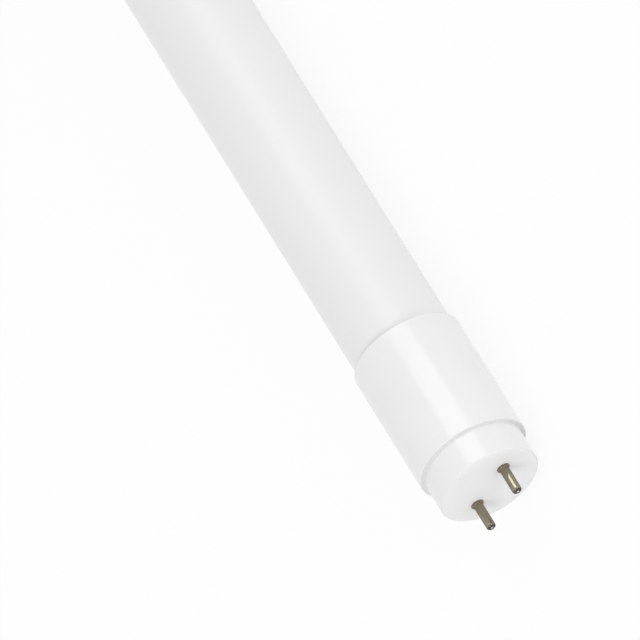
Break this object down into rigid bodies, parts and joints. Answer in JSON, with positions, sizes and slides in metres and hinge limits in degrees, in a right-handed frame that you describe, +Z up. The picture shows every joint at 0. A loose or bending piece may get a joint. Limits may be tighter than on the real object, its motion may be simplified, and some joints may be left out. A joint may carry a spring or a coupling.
{
  "type": "tube light",
  "caption": "Straight tube light: opal glass tube, long white plastic end caps with a stepped nose, and a pair of brass contact pins at each end.",
  "frame": {"origin": "on the tube's axis, half way between the two end faces", "axes": "+X along the tube towards the pins of the feed end, +Y along the line of the pins, +Z up, away from the strip of light sources"},
  "size_m": [0.604, 0.0278, 0.0278],
  "materials": {
    "opal_glass": "satin",
    "cap_plastic": "gloss",
    "pin_brass": "satin",
    "solder": "satin",
    "adhesive": "satin",
    "strip_white": "matte",
    "led_body": "matte",
    "silicone": "satin",
    "circuit_board": "satin",
    "black_epoxy": "matte",
    "film_box": "gloss",
    "can_sleeve": "gloss",
    "ferrite": "matte",
    "resistor_paint": "gloss",
    "wire_brown": "satin",
    "wire_blue": "satin",
    "wire_red": "satin",
    "wire_black": "satin",
    "wire_white": "satin"
  },
  "bodies": {
    "root": {"glass_tube": "opal_glass", "end_cap_feed": "cap_plastic", "end_cap_link": "cap_plastic", "cap_bond_feed": "adhesive", "cap_bond_link": "adhesive", "pin_feed_line": "pin_brass", "pin_feed_neutral": "pin_brass", "pin_link_a": "pin_brass", "pin_link_b": "pin_brass", "pin_solder": "solder", "led_board": "strip_white", "led_packages": "led_body", "board_bond": "silicone", "driver_board": "circuit_board", "fuse_resistor": "resistor_paint", "film_capacitor": "film_box", "bridge_rectifier": "black_epoxy", "bulk_capacitor": "can_sleeve", "driver_chip": "black_epoxy", "buck_choke": "ferrite", "output_capacitor": "can_sleeve", "line_wire": "wire_brown", "neutral_wire": "wire_blue", "board_plus_wire": "wire_red", "board_minus_wire": "wire_black", "link_wire": "wire_white"}
  },
  "joints": []
}
